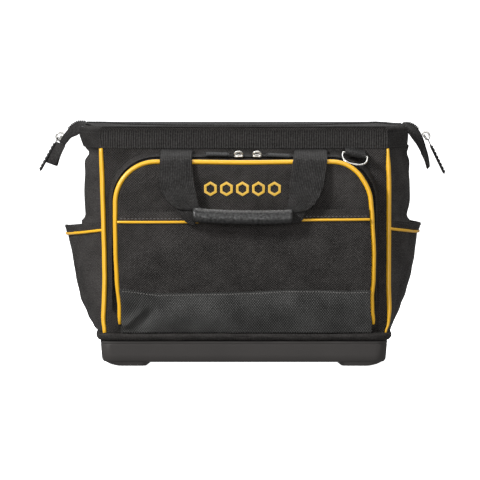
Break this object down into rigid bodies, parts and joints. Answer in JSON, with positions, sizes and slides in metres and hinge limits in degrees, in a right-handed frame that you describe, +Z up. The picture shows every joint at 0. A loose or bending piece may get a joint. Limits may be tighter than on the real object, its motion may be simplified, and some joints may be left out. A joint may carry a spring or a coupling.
{
  "type": "tool bag",
  "caption": "Open-mouth fabric tool bag on a moulded base, with a zip-topped stiff mouth, front zip pocket, side pockets, drop handles and D-rings.",
  "frame": {"origin": "middle of the bag's box on the surface it stands on", "axes": "+Z up, the front pocket faces -Y, +X to the right seen from the front"},
  "size_m": [0.4967, 0.2666, 0.2957],
  "materials": {
    "moulded_plastic": "fine moulded grain",
    "stiffening_board": "pressed board",
    "binding_fabric": "bound roll",
    "body_fabric": "coarse plain weave",
    "kick_fabric": "coated and embossed with a small diamond pattern",
    "lining": "plain weave",
    "webbing": "ribbed webbing",
    "piping": "satin piping",
    "zip_tape": "herringbone tape",
    "zip_teeth": "moulded teeth",
    "nickel": "nickel plated",
    "rubber_pull": "ribbed rubber",
    "grip_leatherette": "pebbled leatherette",
    "spring_steel": "plain"
  },
  "bodies": {
    "root": {"base_tray": "moulded_plastic", "base_board": "stiffening_board", "base_binding": "binding_fabric", "front_wall": "body_fabric", "back_wall": "body_fabric", "left_side_panel": "body_fabric", "right_side_panel": "body_fabric", "front_left_corner_piping": "piping", "front_right_corner_piping": "piping", "back_left_corner_piping": "piping", "back_right_corner_piping": "piping", "front_mouth_band": "webbing", "back_mouth_band": "webbing", "front_mouth_stay": "spring_steel", "back_mouth_stay": "spring_steel", "left_zip_tail": "zip_tape", "right_zip_tail": "zip_tape", "left_tail_tab": "webbing", "right_tail_tab": "webbing", "pocket_gusset": "body_fabric", "pocket_front_panel": "body_fabric", "slip_pocket_panel": "body_fabric", "slip_hem_piping": "piping", "kick_panel": "kick_fabric", "pocket_arch_piping": "piping", "pocket_zip_chain": "zip_teeth", "left_side_pocket": "body_fabric", "right_side_pocket": "body_fabric", "left_side_pocket_piping": "piping", "right_side_pocket_piping": "piping", "back_kick_panel": "kick_fabric", "inner_organiser": "lining", "front_ring_tab": "webbing", "back_ring_tab": "webbing"},
    "front_flap": {"front_zip_flap": "zip_tape", "front_zip_teeth": "zip_teeth"},
    "back_flap": {"back_zip_flap": "zip_tape", "back_zip_teeth": "zip_teeth"},
    "front_straps": {"left_strap_root": "webbing", "right_strap_root": "webbing"},
    "front_handle": {"front_handle_webbing": "webbing", "front_handle_grip": "grip_leatherette"},
    "back_handle": {"back_handle_webbing": "webbing", "back_handle_grip": "grip_leatherette"},
    "front_ring": {"front_d_ring": "nickel"},
    "back_ring": {"back_d_ring": "nickel"},
    "left_slider": {"left_main_slider": "nickel"},
    "left_pull": {"left_main_pull": "rubber_pull"},
    "right_slider": {"right_main_slider": "nickel"},
    "right_pull": {"right_main_pull": "rubber_pull"},
    "left_pocket_slider_body": {"left_pocket_slider": "nickel"},
    "left_pocket_pull_body": {"left_pocket_pull": "rubber_pull"},
    "right_pocket_slider_body": {"right_pocket_slider": "nickel"},
    "right_pocket_pull_body": {"right_pocket_pull": "rubber_pull"}
  },
  "joints": [
    {"name": "front_flap_hinge", "type": "hinge", "parent": "root", "child": "front_flap", "pos_m": [0, -0.0595, 0.2923], "axis": [1, 0, 0], "range_deg": [0, 75]},
    {"name": "back_flap_hinge", "type": "hinge", "parent": "root", "child": "back_flap", "pos_m": [0, 0.0935, 0.2923], "axis": [-1, 0, 0], "range_deg": [0, 75]},
    {"name": "front_strap_lift", "type": "hinge", "parent": "root", "child": "front_straps", "pos_m": [0, -0.063, 0.2628], "axis": [-1, 0, 0], "range_deg": [0, 95]},
    {"name": "front_handle_swing", "type": "hinge", "parent": "front_straps", "child": "front_handle", "pos_m": [0, -0.1042, 0.2558], "axis": [-1, 0, 0], "range_deg": [0, 66]},
    {"name": "back_handle_swing", "type": "hinge", "parent": "root", "child": "back_handle", "pos_m": [0, 0.097, 0.2628], "axis": [1, 0, 0], "range_deg": [0, 165]},
    {"name": "front_ring_swing", "type": "hinge", "parent": "root", "child": "front_ring", "pos_m": [0.1361, -0.075, 0.258], "axis": [-0.9703, 0, 0.2419], "range_deg": [0, 100]},
    {"name": "back_ring_swing", "type": "hinge", "parent": "root", "child": "back_ring", "pos_m": [-0.1361, 0.09725, 0.257], "axis": [1, 0, 0], "range_deg": [0, 160]},
    {"name": "left_slider_travel", "type": "slide", "parent": "root", "child": "left_slider", "axis": [0.545, 0, 0.8384], "range_m": [0, 0.012]},
    {"name": "left_pull_swing", "type": "hinge", "parent": "left_slider", "child": "left_pull", "pos_m": [-0.22542, 0.017, 0.2748], "axis": [0, 1, 0], "range_deg": [0, 130]},
    {"name": "right_slider_travel", "type": "slide", "parent": "root", "child": "right_slider", "axis": [-0.545, 0, 0.8384], "range_m": [0, 0.012]},
    {"name": "right_pull_swing", "type": "hinge", "parent": "right_slider", "child": "right_pull", "pos_m": [0.22542, 0.017, 0.2748], "axis": [0, -1, 0], "range_deg": [0, 130]},
    {"name": "left_pocket_slider_travel", "type": "slide", "parent": "root", "child": "left_pocket_slider_body", "axis": [-1, 0, 0], "range_m": [0, 0.01]},
    {"name": "left_pocket_pull_swing", "type": "hinge", "parent": "left_pocket_slider_body", "child": "left_pocket_pull_body", "pos_m": [-0.0083, -0.07824, 0.26243], "axis": [0, 0.9587, 0.2844], "range_deg": [0, 75]},
    {"name": "right_pocket_slider_travel", "type": "slide", "parent": "root", "child": "right_pocket_slider_body", "axis": [-1, 0, 0], "range_m": [0, 0.01]},
    {"name": "right_pocket_pull_swing", "type": "hinge", "parent": "right_pocket_slider_body", "child": "right_pocket_pull_body", "pos_m": [0.0167, -0.07824, 0.26243], "axis": [0, -0.9587, -0.2844], "range_deg": [0, 75]}
  ]
}
